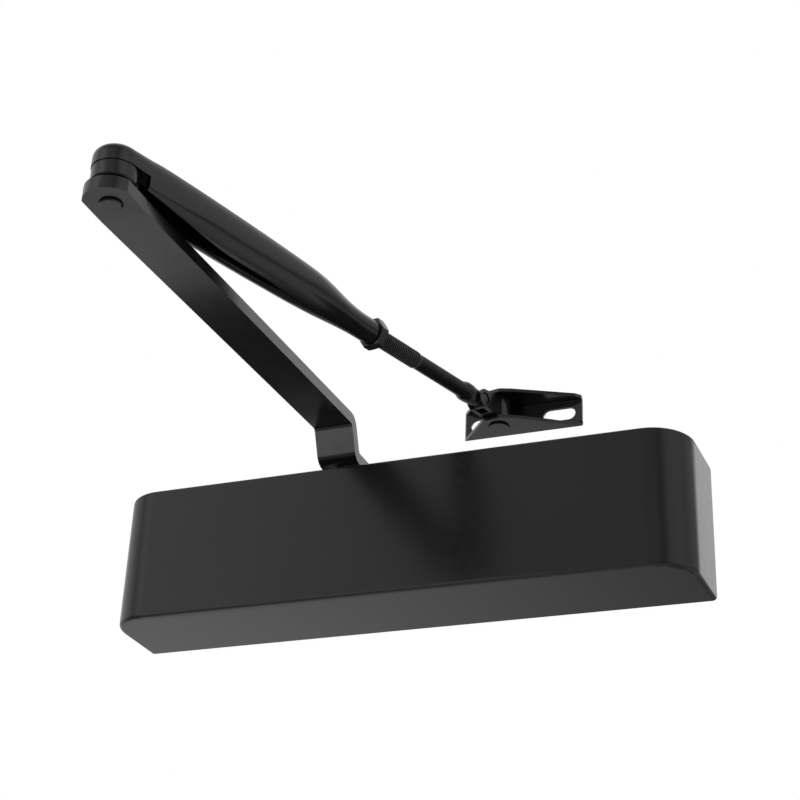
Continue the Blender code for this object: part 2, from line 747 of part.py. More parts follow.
# Amounts along the forearm, as (distance from the elbow, amount)
HUB_RADIUS = 0.0095
HUB_UNDERSIDE = 0.06175
HUB_STEP = 0.0098                 # where the side walls drop down
HUB_TOP = 0.0706
CHANNEL_TOP = [(0.000, HUB_TOP), (0.016, 0.0714), (0.055, 0.0728), (0.106, 0.0740), (0.128, 0.0734),
               (0.151, 0.0723)]
CHANNEL_BOTTOM = [(0.016, 0.0559), (0.045, 0.0561), (0.063, 0.0565), (0.100, 0.0583), (0.117, 0.0588),
                  (0.134, 0.0599), (0.151, 0.0614)]
CHANNEL_HALF = [(0.000, 0.0095), (0.020, CHANNEL_HALF_WIDTH), (0.108, CHANNEL_HALF_WIDTH),
                (0.151, NECK_RADIUS)]
TOP_CORNER = [(0.000, 0.0044), (0.020, 0.0022), (0.060, 0.0027), (0.108, 0.0044), (0.151, NECK_RADIUS)]
TOP_REACH = [(0.000, 0.0044), (0.030, 0.0075), (0.108, 0.0075), (0.151, NECK_RADIUS)]   # down the side
BOTTOM_CORNER = [(0.000, 0.0014), (0.016, 0.0018), (0.045, 0.0053), (0.100, 0.0064), (0.118, 0.0078),
                 (0.151, NECK_RADIUS)]
SEAM_HALF = [(0.000, 0.0090), (0.016, 0.0074), (0.036, 0.0052), (0.043, 0.0041), (0.063, 0.0019),
             (0.090, 0.0012), (0.098, 0.00025), (0.170, 0.00025)]


def channel_section(distance, inset):
    """A ring of points across the forearm: a rounded box at the elbow that becomes a round tube."""
    rod_z = on_rod(distance).z
    neck = blend(distance, [(0.120, 0.0), (0.151, 1.0)])
    top = blend(distance, CHANNEL_TOP)
    top += (rod_z + NECK_RADIUS - top) * neck
    bottom = blend(distance, CHANNEL_BOTTOM)
    bottom += (rod_z - NECK_RADIUS - bottom) * neck
    half = blend(distance, CHANNEL_HALF)
    half_height = (top - bottom) / 2
    limit = min(half, half_height)
    top_corner = max(min(blend(distance, TOP_CORNER), limit) - inset, 0.0004)
    top_reach = max(min(blend(distance, TOP_REACH), half_height) - inset, 0.0004)
    low_corner = max(min(blend(distance, BOTTOM_CORNER), limit) - inset, 0.0004)
    half -= inset
    top_z, low_z = top - inset - top_reach, bottom + inset + low_corner
    corners = [(half - top_corner, top_z, top_corner, top_reach, 0),
               (-half + top_corner, top_z, top_corner, top_reach, 90),
               (-half + low_corner, low_z, low_corner, low_corner, 180),
               (half - low_corner, low_z, low_corner, low_corner, 270)]
    ring = []
    for x, z, across, upward, start in corners:
        for i in range(6):
            angle = math.radians(start + 18 * i)
            ring.append((x + across * math.cos(angle), distance, z + upward * math.sin(angle)))
    return ring


def hub_profile(radius, top, low, corner):
    """A turned cap with a rounded top edge."""
    edge = [(radius - corner + corner * math.sin(math.radians(15 * i)),
             top - corner + corner * math.cos(math.radians(15 * i))) for i in range(7)]
    return [(0, top)] + edge + [(radius, low), (0, low)]


def seam_plan(start, end):
    """The open underside of the channel in plan: wide at the elbow, closing to a thin seam."""
    steps = 40
    distances = [start + (end - start) * i / steps for i in range(steps + 1)]
    right = [(blend(s, SEAM_HALF), s) for s in distances]
    return right + [(-x, s) for x, s in right[::-1]]


def make_forearm():
    """A folded channel: the outer form, less the inner form, less its open underside."""
    plan = frame_matrix(Vector((ELBOW.x, ELBOW.y, 0)), ACROSS, ALONG)
    stations = [0.0, 0.010, 0.016, 0.022, 0.030, 0.038, 0.045, 0.063, 0.080, 0.098, 0.106, 0.112, 0.118,
                0.124, 0.130, 0.136, 0.142, 0.147, 0.151, NECK_END]
    outer = loft("forearm", [channel_section(s, 0) for s in stations], "arm_black", plan)
    hub = turned("hub", hub_profile(HUB_RADIUS, HUB_TOP, 0.0580, 0.0044), ELBOW, "arm_black", segments=40)
    join(outer, hub)
    inner_stations = [0.002] + [s for s in stations[1:] if s < 0.138]
    inner = loft("channel_hollow", [channel_section(s, CHANNEL_WALL) for s in inner_stations],
                 "arm_black", plan)
    inner_hub = hub_profile(HUB_RADIUS - CHANNEL_WALL, HUB_TOP - CHANNEL_WALL, 0.0500, 0.0026)
    seam = outline_solid("seam", seam_plan(0.010, NECK_END + 0.005), 0.020, "arm_black",
                         frame_matrix(Vector((ELBOW.x, ELBOW.y, 0.0545)), ACROSS, ALONG))
    cut(outer, inner, turned("hub_hollow", inner_hub, ELBOW, "arm_black", segments=40), seam,
        box("hub_underside", (-0.02, -0.02, 0.045), (0.02, HUB_STEP, HUB_UNDERSIDE), matrix=plan),
        cylinder("rod_hole", THREAD_HOLE, 0.105, 0.180, ROD_START, axis=ROD_AXIS, segments=28),
        cylinder("rivet_hole", 0.0033, 0.066, 0.080, ELBOW, segments=20))
    smooth(outer, 35)
    return outer


def make_elbow_pin():
    """A stepped rivet that stands a little below the arm and is headed over the forearm's hub."""
    foot, step, top = ARM_END_Z - 0.0011, HUB_TOP - CHANNEL_WALL - 0.0005, HUB_TOP + GAP
    shank, neck, head = ELBOW_HOLE - GAP, 0.0030, 0.0050
    profile = [(0, top + 0.0014), (0.0025, top + 0.0012), (0.0043, top + 0.0006), (head, top),
               (neck, top), (neck, step), (shank, step), (shank, foot + 0.0004), (shank - 0.0004, foot),
               (0, foot)]
    pin = turned("elbow_pin", profile, ELBOW, "arm_black", segments=28)
    smooth(pin, 40)
    return pin


def make_elbow_bush():
    low, shoulder = ARM_END_Z + ARM_THICKNESS + GAP, HUB_UNDERSIDE - GAP
    high = HUB_TOP - CHANNEL_WALL - 0.0007
    profile = [(0.0060, high), (0.0069, high - 0.0012), (0.0069, shoulder), (0.0092, shoulder),
               (0.0092, low + 0.0026), (0.0087, low + 0.0020), (0.0078, low + 0.0019), (0.0078, low),
               (ELBOW_HOLE, low), (ELBOW_HOLE, high)]
    bush = turned("elbow_bush", profile, ELBOW, "arm_black", segments=32, ring=True)
    smooth(bush, 30)
    return bush


def on_rod(distance):
    return ROD_START + ROD_AXIS * distance


def make_lock_nut():
    """A thin hexagon with both ends chamfered."""
    start, end = NECK_END + GAP, NECK_END + GAP + NUT_LENGTH
    flats = 0.0065
    corner = flats / math.cos(math.pi / 6)
    nut = cylinder("lock_nut", corner, start, end, ROD_START, "arm_black", ROD_AXIS, 6)
    square_on = frame_matrix(ROD_START, ACROSS, ROD_AXIS.cross(ACROSS))
    nut.matrix_world = square_on @ Matrix.Rotation(math.radians(NUT_TURN), 4, "Z")
    wide, edge = corner + 0.0002, 0.0007
    chamfer = [(0, end), (flats, end), (wide, end - edge), (wide, start + edge), (flats, start), (0, start)]
    boolean(nut, turned("chamfers", chamfer, ROD_START, "arm_black", ROD_AXIS, 36), "INTERSECT")
    cut(nut, cylinder("nut_thread", THREAD_HOLE, start - 0.01, end + 0.01, ROD_START,
                      axis=ROD_AXIS, segments=28))
    smooth(nut, 20)
    return nut


def make_adjusting_rod():
    """Threaded rod and plain shank, swelling to an end that is milled flat on both sides."""
    thread, shank, swell = THREAD_CORE + 0.0001, SHANK_RADIUS, 0.0047
    profile = [(0, 0.2395), (0.0040, 0.2395), (swell, 0.2330), (swell, 0.2295), (0.0044, 0.2283),
               (0.0040, 0.2272), (shank, 0.2262), (shank, THREAD_END + 0.0008), (thread, THREAD_END),
               (thread, THREAD_START + 0.0012), (thread - 0.0012, THREAD_START), (0, THREAD_START)]
    rod = turned("adjusting_rod", profile, ROD_START, "rod_black", axis=ROD_AXIS, segments=28)
    join(rod, cylinder("eye", EYE_RADIUS, -FLAT_HALF, FLAT_HALF, CROSS_PIN, axis=ACROSS, segments=28))
    end = frame_matrix(CROSS_PIN, ROD_AXIS, ACROSS.cross(ROD_AXIS))
    run_out, flat_start = 0.0024, -0.0060
    lift = ACROSS.cross(ROD_AXIS)
    for side in (-1, 1):
        near, far = sorted((side * FLAT_HALF, side * 0.0120))
        corner = CROSS_PIN + ROD_AXIS * flat_start + ACROSS * side * (FLAT_HALF + run_out)
        cut(rod, box("flat", (flat_start, -0.01, near), (0.01, 0.01, far), matrix=end),
            cylinder("run_out", run_out, -0.01, 0.01, corner, axis=lift, segments=24))
    cut(rod, cylinder("eye_hole", PIN_HOLE, -0.01, 0.01, CROSS_PIN, axis=ACROSS, segments=24))
    smooth(rod, 40)
    return rod


# ---------------------------------------------------------------- swivel block and bracket

FLAT_HALF = 0.00205               # the rod's end is this thick to either side of its axis
EYE_RADIUS = 0.0044
CHEEK_INNER = 0.00235
CHEEK_OUTER = 0.0042
CHEEK_RADIUS = 0.0047
PIN_RADIUS = 0.0026
PIN_HOLE = 0.0029
BARREL_LOW = BRACKET_BOTTOM + BRACKET_SHEET + GAP
BARREL_HIGH = BRACKET_TOP - BRACKET_SHEET - GAP


def make_swivel_block():
    """An upright barrel whose ends turn in the bracket, with two cheeks for the rod's end."""
    stub = TRUNNION_HOLE - 0.00035
    top, bottom = BRACKET_TOP + 0.0009, BRACKET_BOTTOM - 0.0009
    profile = [(0, top), (stub, top), (stub, BARREL_HIGH), (BARREL_RADIUS, BARREL_HIGH),
               (BARREL_RADIUS, BARREL_LOW), (stub, BARREL_LOW), (stub, bottom), (0, bottom)]
    block = turned("swivel_block", profile, PIVOT, "arm_black", segments=32)
    reach = (PIVOT - CROSS_PIN).dot(ALONG)
    radius = CHEEK_RADIUS
    side = arc((0, 0), radius, 90, 270, 12) + [(reach, -radius), (reach, BARREL_HIGH - CROSS_PIN.z)]
    middle = frame_matrix(CROSS_PIN, ALONG, UP)
    join(block, outline_solid("cheeks", side, 2 * CHEEK_OUTER, "arm_black", middle))
    gap = (-0.01, -0.01, -CHEEK_INNER), (EYE_RADIUS + 0.0008, 0.01, CHEEK_INNER)
    cut(block, box("rod_gap", *gap, matrix=middle),
        cylinder("pin_hole", PIN_HOLE, -0.02, 0.02, CROSS_PIN, axis=ACROSS, segments=24))
    smooth(block, 35)
    return block


def make_cross_pin():
    """A plain pin through the cheeks and the rod's eye, a little short of the cheeks at both ends."""
    end, edge = CHEEK_OUTER - 0.0005, 0.0003
    profile = [(0, end), (PIN_RADIUS - edge, end), (PIN_RADIUS, end - edge), (PIN_RADIUS, edge - end),
               (PIN_RADIUS - edge, -end), (0, -end)]
    pin = turned("cross_pin", profile, CROSS_PIN, "arm_black", axis=ACROSS, segments=24)
    smooth(pin, 40)
    return pin


def flange_outline(points, radii):
    """A flange from above: straight along the back, its other corners rounded."""
    corners = [(BRACKET_LEFT, 0)] + points + [(BRACKET_RIGHT, 0)]
    return rounded_path(corners, radii, steps=4)


def slot_outline(centre_x, half_length, centre_z, radius):
    straight = half_length - radius
    right = arc((centre_x + straight, centre_z), radius, -90, 90, 8)
    return right + arc((centre_x - straight, centre_z), radius, 90, 270, 8)


def make_bracket():
    """A pressed channel: back plate on the frame, and two flanges that hold the swivel block."""
    depth = 0.0300
    bend = 0.0018
    path = rounded_path([(depth, BRACKET_BOTTOM), (0, BRACKET_BOTTOM), (0, BRACKET_TOP),
                         (depth, BRACKET_TOP)], [bend, bend], steps=4)
    section = [(-y, z) for y, z in thickened(path[::-1], BRACKET_SHEET)]
    middle = (BRACKET_LEFT + BRACKET_RIGHT) / 2
    width = BRACKET_RIGHT - BRACKET_LEFT
    bracket = outline_solid("bracket", section, width + 0.004, "arm_black",
                            frame_matrix(Vector((middle, 0, 0)), Y_AXIS, UP))
    left = [(0.0221, -0.0005), (0.0377, -0.0193), (0.0467, -0.0214), (0.0526, -0.0192)]
    lower = flange_outline(left + [(0.0681, -0.0101), (0.0826, -0.0006)], [0.001, 0.003, 0.005, 0.005,
                                                                        0.02, 0.0003])
    upper = flange_outline(left + [(0.0806, -0.0056), (0.0829, -0.0030)], [0.001, 0.003, 0.005, 0.005,
                                                                        0.002, 0.001])
    change_z, low_depth, high_depth = BRACKET_BOTTOM + 0.0027, 0.0050, 0.0180
    plan = outline_solid("flange_plan", lower, low_depth, "arm_black",
                         Matrix.Translation((0, 0, change_z - low_depth / 2)))
    upper_plan = outline_solid("upper_flange_plan", upper, high_depth, "arm_black",
                               Matrix.Translation((0, 0, change_z - 0.0001 + high_depth / 2)))
    join(plan, upper_plan)
    boolean(bracket, plan, "INTERSECT")
    cut(bracket, cylinder("trunnion_holes", TRUNNION_HOLE, 0.060, 0.085, PIVOT, segments=32))
    slot_z, slot_radius, half_length, from_middle = 0.0706, 0.00333, 0.0082, 0.0188
    for side in (-1, 1):
        outline = slot_outline(middle + side * from_middle, half_length, slot_z, slot_radius)
        cut(bracket, outline_solid("screw_slot", outline, 0.012, "arm_black",
                                   frame_matrix(Vector((0, 0, 0)), X_AXIS, UP)))
    smooth(bracket, 30)
    return bracket


# ---------------------------------------------------------------- the whole closer

def empty(name, location, parent=None):
    obj = bpy.data.objects.new(name, None)
    PARTS.objects.link(obj)
    obj.empty_display_size = 0.01
    obj.location = location if parent is None else Vector(location) - parent.matrix_world.translation
    obj.parent = parent
    bpy.context.view_layer.update()
    return obj


def attach(parent, *parts):
    bpy.context.view_layer.update()
    for obj in parts:
        world = obj.matrix_world.copy()
        obj.parent = parent
        obj.matrix_parent_inverse = parent.matrix_world.inverted()
        obj.matrix_world = world


def build():
    base = empty("closer", (0, 0, 0))
    spindle = empty("spindle_axis", SPINDLE, base)
    elbow = empty("elbow_axis", ELBOW, spindle)
    rod_end = empty("cross_pin_axis", CROSS_PIN, elbow)
    swivel = empty("bracket_axis", PIVOT, rod_end)

    attach(base, make_cover(), make_housing())
    for side, word in ((-1, "left"), (1, "right")):
        attach(base, make_clip("clip_" + word, side), make_end_cap("end_cap_" + word, side),
               make_o_ring("o_ring_" + word, side))
        for rise, level in ((-1, "bottom"), (1, "top")):
            attach(base, make_clip_screw(f"clip_screw_{word}_{level}", side, rise))
    for side, level in ((-1, "bottom"), (1, "top")):
        attach(base, make_bearing("bearing_" + level, side), make_gland_cap("gland_cap_" + level, side))
    attach(base, make_shaft_seal())
    attach(base, make_valve("closing_valve", -1, 1), make_valve("latching_valve", -1, -1),
           make_valve("backcheck_valve", 1, 1))

    pocket = Vector((PISTON_START, SPINDLE.y, 0))
    retainer = turned("ball_retainer", ring_profile(0.0016, 0.0029, 0.0, 0.0010), pocket, "steel",
                      axis=X_AXIS, segments=16, ring=True)
    attach(base, make_piston(), retainer, make_check_ball(), make_spring(), make_spring_plate(),
           make_power_screw())

    attach(spindle, make_pinion_shaft(), make_main_arm(), make_arm_washer(), make_arm_screw(),
           make_elbow_pin(), make_elbow_bush())
    attach(elbow, make_forearm(), make_lock_nut(), make_adjusting_rod(), make_cross_pin())
    attach(rod_end, make_swivel_block())
    attach(swivel, make_bracket())


build()
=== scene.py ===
"""Looks for the overhead door closer: materials, small surface detail, studio light and camera.

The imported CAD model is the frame. Every CAD node keeps its mesh and its place, and gets a procedural
material and smooth shading. The one piece added here is the adjusting rod's thread, which rides on the rod.
"""
import json
import math

import bmesh
import bpy
from mathutils import Matrix, Vector


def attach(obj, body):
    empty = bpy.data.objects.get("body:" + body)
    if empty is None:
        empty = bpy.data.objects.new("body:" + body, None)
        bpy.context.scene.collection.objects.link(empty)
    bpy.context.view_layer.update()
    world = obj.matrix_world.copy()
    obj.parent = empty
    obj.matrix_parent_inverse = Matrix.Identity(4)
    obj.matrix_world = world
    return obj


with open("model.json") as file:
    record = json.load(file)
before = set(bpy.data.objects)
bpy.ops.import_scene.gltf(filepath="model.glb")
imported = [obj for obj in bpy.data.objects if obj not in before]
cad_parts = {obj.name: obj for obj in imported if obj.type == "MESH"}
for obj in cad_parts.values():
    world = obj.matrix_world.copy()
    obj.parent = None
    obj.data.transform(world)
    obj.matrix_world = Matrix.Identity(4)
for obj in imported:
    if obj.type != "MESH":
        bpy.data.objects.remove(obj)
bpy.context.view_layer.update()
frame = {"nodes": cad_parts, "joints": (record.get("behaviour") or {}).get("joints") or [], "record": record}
NODES = frame["nodes"]


JOINTS = {joint["name"]: joint for joint in frame["joints"]}
ROD_AXIS = Vector(JOINTS["rod_length"]["axis"])
NUT_MIDDLE = Vector(JOINTS["lock_nut_turn"]["pos_m"])      # on the rod's axis

# The thread's mesh attribute, 0 in its roots and 1 on its crests, and where on it the painted highlight of
# lighter steel starts.
HEIGHT_NAME = "height_on_thread"
PAINTED_HIGHLIGHT_FROM = 0.70


# ---------------------------------------------------------------- materials

# Sockets of a Mix node, which has a set of inputs and an output for each type of data.
MIX_FACTOR = 0
MIX_FIRST_FLOAT = 2
MIX_SECOND_FLOAT = 3
MIX_FIRST_COLOUR = 6
MIX_SECOND_COLOUR = 7
MIX_FLOAT_OUT = 0
MIX_COLOUR_OUT = 2
# Pointiness at which an edge's wear starts, and at which it is full. A flat face has 0.5.
EDGE_START = 0.56
EDGE_FULL = 0.72


class Shader:
    """A Principled material with a few named helpers for procedural detail."""

    def __init__(self, name, colour, roughness, metallic=0.0, coat=0.0, coat_roughness=0.3, specular=0.5):
        self.mat = bpy.data.materials.new(name)
        self.mat.use_nodes = True
        self.nodes = self.mat.node_tree.nodes
        self.links = self.mat.node_tree.links
        self.shader = self.nodes["Principled BSDF"]
        self.shader.inputs["Base Color"].default_value = (*colour, 1)
        self.shader.inputs["Roughness"].default_value = roughness
        self.shader.inputs["Metallic"].default_value = metallic
        self.shader.inputs["Coat Weight"].default_value = coat
        self.shader.inputs["Coat Roughness"].default_value = coat_roughness
        self.shader.inputs["Specular IOR Level"].default_value = specular
        self.colour = colour
        self.roughness = roughness
        self.normal = None

    def node(self, kind, **values):
        node = self.nodes.new(kind)
        for key, value in values.items():
            setattr(node, key, value)
        return node

    def position(self, stretch=(1, 1, 1)):
        """Object coordinates in metres, stretched by an amount along each axis."""
        coords = self.node("ShaderNodeTexCoord")
        mapping = self.node("ShaderNodeMapping")
        mapping.inputs["Scale"].default_value = stretch
        self.links.new(coords.outputs["Object"], mapping.inputs["Vector"])
        return mapping.outputs["Vector"]

    def noise(self, scale, detail=3.0, roughness=0.5, stretch=(1, 1, 1)):
        noise = self.node("ShaderNodeTexNoise")
        noise.inputs["Scale"].default_value = scale
        noise.inputs["Detail"].default_value = detail
        noise.inputs["Roughness"].default_value = roughness
        self.links.new(self.position(stretch), noise.inputs["Vector"])
        return noise.outputs["Fac"]

    def span(self, value, low, high, start=0.3, end=0.7):
        """Maps a texture's value from start..end to low..high."""
        ramp = self.node("ShaderNodeMapRange")
        ramp.inputs["From Min"].default_value = start
        ramp.inputs["From Max"].default_value = end
        ramp.inputs["To Min"].default_value = low
        ramp.inputs["To Max"].default_value = high
        self.links.new(value, ramp.inputs["Value"])
        return ramp.outputs["Result"]

    def vary_roughness(self, value, spread):
        ranged = self.span(value, self.roughness - spread, self.roughness + spread)
        self.links.new(ranged, self.shader.inputs["Roughness"])

    def blend_colour(self, amount, first, second):
        """Sets the base colour to a blend, from the first colour at 0 to the second at 1."""
        mix = self.node("ShaderNodeMix", data_type="RGBA")
        mix.inputs[MIX_FIRST_COLOUR].default_value = (*first, 1)
        mix.inputs[MIX_SECOND_COLOUR].default_value = (*second, 1)
        self.links.new(amount, mix.inputs[MIX_FACTOR])
        self.links.new(mix.outputs[MIX_COLOUR_OUT], self.shader.inputs["Base Color"])

    def vary_colour(self, value, spread):
        darker = [c * (1 - spread) for c in self.colour]
        lighter = [c * (1 + spread) for c in self.colour]
        self.blend_colour(self.span(value, 0, 1), darker, lighter)

    def bump(self, value, distance, strength):
        """Adds a bump of a depth in metres, on top of the bumps that the material has so far."""
        bump = self.node("ShaderNodeBump")
        bump.inputs["Distance"].default_value = distance
        bump.inputs["Strength"].default_value = strength
        self.links.new(value, bump.inputs["Height"])
        if self.normal is not None:
            self.links.new(self.normal, bump.inputs["Normal"])
        self.links.new(bump.outputs["Normal"], self.shader.inputs["Normal"])
        self.normal = bump.outputs["Normal"]

    def worn_edges(self, colour, amount):
        """Lightens the convex edges, where the finish is thin. It follows vary_colour."""
        pointiness = self.node("ShaderNodeNewGeometry").outputs["Pointiness"]
        mix = self.node("ShaderNodeMix", data_type="RGBA")
        base = self.shader.inputs["Base Color"]
        self.links.new(base.links[0].from_socket, mix.inputs[MIX_FIRST_COLOUR])
        mix.inputs[MIX_SECOND_COLOUR].default_value = (*colour, 1)
        self.links.new(self.span(pointiness, 0, amount, EDGE_START, EDGE_FULL), mix.inputs[MIX_FACTOR])
        self.links.new(mix.outputs[MIX_COLOUR_OUT], base)


def moulded_black():
    """Satin black moulding with the fine even spark texture of a plastic cover."""
    look = Shader("cover_satin_black", (0.009, 0.009, 0.0092), 0.20)
    look.bump(look.noise(1500, 2.0, 0.6), 0.00002, 0.16)
    look.bump(look.noise(60, 2.0), 0.00010, 0.05)
    look.vary_roughness(look.noise(260, 4.0, 0.6), 0.03)
    look.vary_colour(look.noise(35, 3.0), 0.12)
    return look.mat


def painted_black():
    """Semi-gloss black paint on formed steel: faint orange peel, a few duller patches."""
    look = Shader("arm_semi_gloss_black", (0.008, 0.008, 0.0082), 0.22, coat=0.25, coat_roughness=0.15)
    look.bump(look.noise(380, 2.0, 0.5), 0.00005, 0.10)
    look.bump(look.noise(2200, 2.0, 0.5), 0.00001, 0.12)
    look.vary_roughness(look.noise(140, 4.0, 0.6), 0.03)
    look.vary_colour(look.noise(60, 3.0), 0.15)
    look.worn_edges((0.035, 0.035, 0.037), 0.3)
    return look.mat


def blackened_steel():
    """Oiled black steel, rubbed brighter on its edges."""
    look = Shader("rod_blackened_steel", (0.022, 0.022, 0.023), 0.25, metallic=0.30)
    look.bump(look.noise(900, 3.0, 0.6), 0.00002, 0.15)
    look.vary_roughness(look.noise(160, 4.0, 0.6), 0.05)
    look.vary_colour(look.noise(80, 3.0), 0.25)
    look.worn_edges((0.20, 0.20, 0.21), 0.5)
    return look.mat


def thread_steel():
    """The rod's steel on its thread: near black, with painted shade in the roots and a painted highlight
    along the crests.
    """
    # painted shade: the thread's own colour is near black, darker than the rod, so its roots look shaded
    look = Shader("rod_thread_steel", (0.002, 0.002, 0.002), 0.30, metallic=0.30, specular=0.3)
    height = look.node("ShaderNodeAttribute", attribute_name=HEIGHT_NAME).outputs["Fac"]
    # painted highlight: the crests blend towards lighter steel, so they look lit against the shaded roots
    painted_highlight = look.span(height, 0, 1, PAINTED_HIGHLIGHT_FROM, 1.0)
    look.blend_colour(painted_highlight, look.colour, (0.20, 0.20, 0.21))
    return look.mat


def machined(name, colour, roughness, stretch):
    """Turned metal: fine tool marks, drawn out along the axis that has the smallest stretch."""
    look = Shader(name, colour, roughness, metallic=1.0)
    grain = look.noise(700, 3.0, 0.6, stretch)
    look.bump(grain, 0.00001, 0.35)
    look.vary_roughness(grain, 0.08)
    look.vary_colour(look.noise(45, 3.0), 0.08)
    return look.mat


def cast_aluminium():
    """Bare sand-cast aluminium, grainy and uneven."""
    look = Shader("cast_aluminium", (0.60, 0.61, 0.62), 0.48, metallic=1.0)
    look.bump(look.noise(600, 4.0, 0.7), 0.00005, 0.6)
    look.bump(look.noise(60, 3.0), 0.0002, 0.2)
    look.vary_roughness(look.noise(110, 4.0, 0.6), 0.10)
    look.vary_colour(look.noise(30, 3.0), 0.12)
    return look.mat


def black_rubber():
    """Matt nitrile rubber, for the seals."""
    look = Shader("nitrile_rubber", (0.018, 0.018, 0.018), 0.75, specular=0.4)
    look.bump(look.noise(1200, 3.0, 0.6), 0.00002, 0.5)
    look.vary_roughness(look.noise(200), 0.08)
    return look.mat


LOOKS = {
    "cover_black": moulded_black(),
    "arm_black": painted_black(),
    "rod_black": blackened_steel(),
    "rod_thread": thread_steel(),
    "cast_aluminium": cast_aluminium(),
    "steel": machined("turned_steel", (0.52, 0.52, 0.53), 0.32, (1, 1, 0.2)),
    "spring_steel": machined("spring_steel_dark", (0.28, 0.28, 0.30), 0.30, (1, 1, 1)),
    "brass": machined("turned_brass", (0.72, 0.53, 0.25), 0.30, (0.2, 1, 1)),
    "rubber": black_rubber(),
}
for entry in frame["record"]["subparts"]:
    node = NODES[entry["node"]]
    node.data.materials.clear()
    node.data.materials.append(LOOKS[entry["material_slot"]])


# ---------------------------------------------------------------- shading of the CAD nodes

# Width of the rounding on a node's sharp edges, in metres. Nodes that aren't here keep their edges sharp.
SOFT_EDGES = {"main_arm": 0.0006, "bracket": 0.0004, "swivel_block": 0.0004, "lock_nut": 0.0003}
SOFT_STEPS = 4
SHARP_ANGLE = math.radians(25)
SAME_PLACE = 0.000001      # triangles' corners closer than this are joined
# Nodes that are curved all over: their normals aren't drawn towards their large faces.
CURVED = {"forearm", "adjusting_rod"}


def soften(node, width):
    """Rounds sharp edges, so that they catch the light as pressed or painted edges do."""
    bevel = node.modifiers.new("soft_edges", "BEVEL")
    bevel.width = width
    bevel.segments = SOFT_STEPS
    bevel.limit_method = "ANGLE"
    bevel.angle_limit = SHARP_ANGLE
    bevel.use_clamp_overlap = True


def shade(node):
    """Smooth shading across a node's shallow edges, with its separate triangles joined first."""
    node.data.shade_smooth()
    if "custom_normal" in node.data.attributes:
        node.data.attributes.remove(node.data.attributes["custom_normal"])
    weld = node.modifiers.new("joined_triangles", "WELD")
    weld.merge_threshold = SAME_PLACE
    if node.name in SOFT_EDGES:
        soften(node, SOFT_EDGES[node.name])
    split = node.modifiers.new("sharp_edges", "EDGE_SPLIT")
    split.split_angle = SHARP_ANGLE
    split.use_edge_sharp = False
    if node.name not in CURVED:
        node.modifiers.new("flat_faces", "WEIGHTED_NORMAL")


for node in NODES.values():
    shade(node)


# ---------------------------------------------------------------- the rod's thread

# The thread, in metres. It runs from its start to its end along the rod's axis, measured from the
# middle of the lock nut.
THREAD_START = -0.0390
THREAD_END = 0.0322
THREAD_PITCH = 0.00125
THREAD_ROOT = 0.00345
THREAD_CREST = 0.00410
THREAD_FOOT = THREAD_ROOT - 0.0003      # the ridge's foot, sunk into the rod
# Half the ridge's width on its crest, at its root and at its foot, in pitches.
CREST_HALF = 0.07
ROOT_HALF = 0.44
FOOT_HALF = 0.46
STEPS_PER_TURN = 24
THREAD_SHARP_ANGLE = math.radians(50)


def mesh_piece(name, bm, look, body):
    """A visible piece that rides on a body, with one of the looks made here as its material."""
    mesh = bpy.data.meshes.new(name)
    bm.to_mesh(mesh)
    bm.free()
    piece = bpy.data.objects.new(name, mesh)
    bpy.context.scene.collection.objects.link(piece)
    mesh.materials.append(LOOKS[look])
    mesh.shade_smooth()
    mesh.set_sharp_from_angle(angle=THREAD_SHARP_ANGLE)
    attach(piece, body)


def along_rod():
    """The placement at the lock nut's middle with local Z along the rod and local Y close to upright."""
    z_dir = ROD_AXIS.normalized()
    x_dir = Vector((0, 0, 1)).cross(z_dir).normalized()
    y_dir = z_dir.cross(x_dir)
    turn = Matrix((x_dir, y_dir, z_dir)).transposed().to_4x4()
    return Matrix.Translation(NUT_MIDDLE) @ turn


def ridge_section(crest):
    """The ridge's outline as (offset in pitches, radius), from one foot over to the other."""
    rising = [(-FOOT_HALF, THREAD_FOOT), (-ROOT_HALF, THREAD_ROOT), (-CREST_HALF, crest)]
    falling = [(-offset, radius) for offset, radius in reversed(rising)]
    return rising + falling


def make_thread():
    """A V-thread as one ridge wound round the rod, which rises from the root over its first turn."""
    count = int((THREAD_END - THREAD_START) / THREAD_PITCH * STEPS_PER_TURN) + 1
    placement = along_rod()
    bm = bmesh.new()
    height = bm.verts.layers.float.new(HEIGHT_NAME)
    sections = []
    for i in range(count):
        angle = 2 * math.pi * i / STEPS_PER_TURN
        middle = THREAD_START + THREAD_PITCH * i / STEPS_PER_TURN
        fade = min(1.0, i / STEPS_PER_TURN, (count - 1 - i) / STEPS_PER_TURN)
        crest = THREAD_ROOT + (THREAD_CREST - THREAD_ROOT) * fade
        section = []
        for offset, radius in ridge_section(crest):
            along = middle + offset * THREAD_PITCH
            spot = Vector((radius * math.cos(angle), radius * math.sin(angle), along))
            vertex = bm.verts.new(placement @ spot)
            vertex[height] = 1.0 if radius > THREAD_ROOT else 0.0
            section.append(vertex)
        sections.append(section)
    for before, after in zip(sections, sections[1:]):
        for i in range(len(before)):
            j = (i + 1) % len(before)
            bm.faces.new((before[i], before[j], after[j], after[i]))
    bm.faces.new(sections[0][::-1])
    bm.faces.new(sections[-1])
    bmesh.ops.recalc_face_normals(bm, faces=bm.faces)
    mesh_piece("rod_thread", bm, "rod_thread", "rod")


make_thread()


# ---------------------------------------------------------------- stage

LENS_MM = 75.79
SENSOR_MM = 36.0
CAMERA_PLACE = Vector((0.27733, -0.71125, -0.30890))
CAMERA_RIGHT = Vector((0.93215, 0.35998, 0.03899))
CAMERA_UP = Vector((0.13463576, -0.44454286, 0.88558165))
CAMERA_BACK = Vector((0.33611784, -0.82024354, -0.46284483))
NEAREST_SEEN = 0.01
FARTHEST_SEEN = 50.0


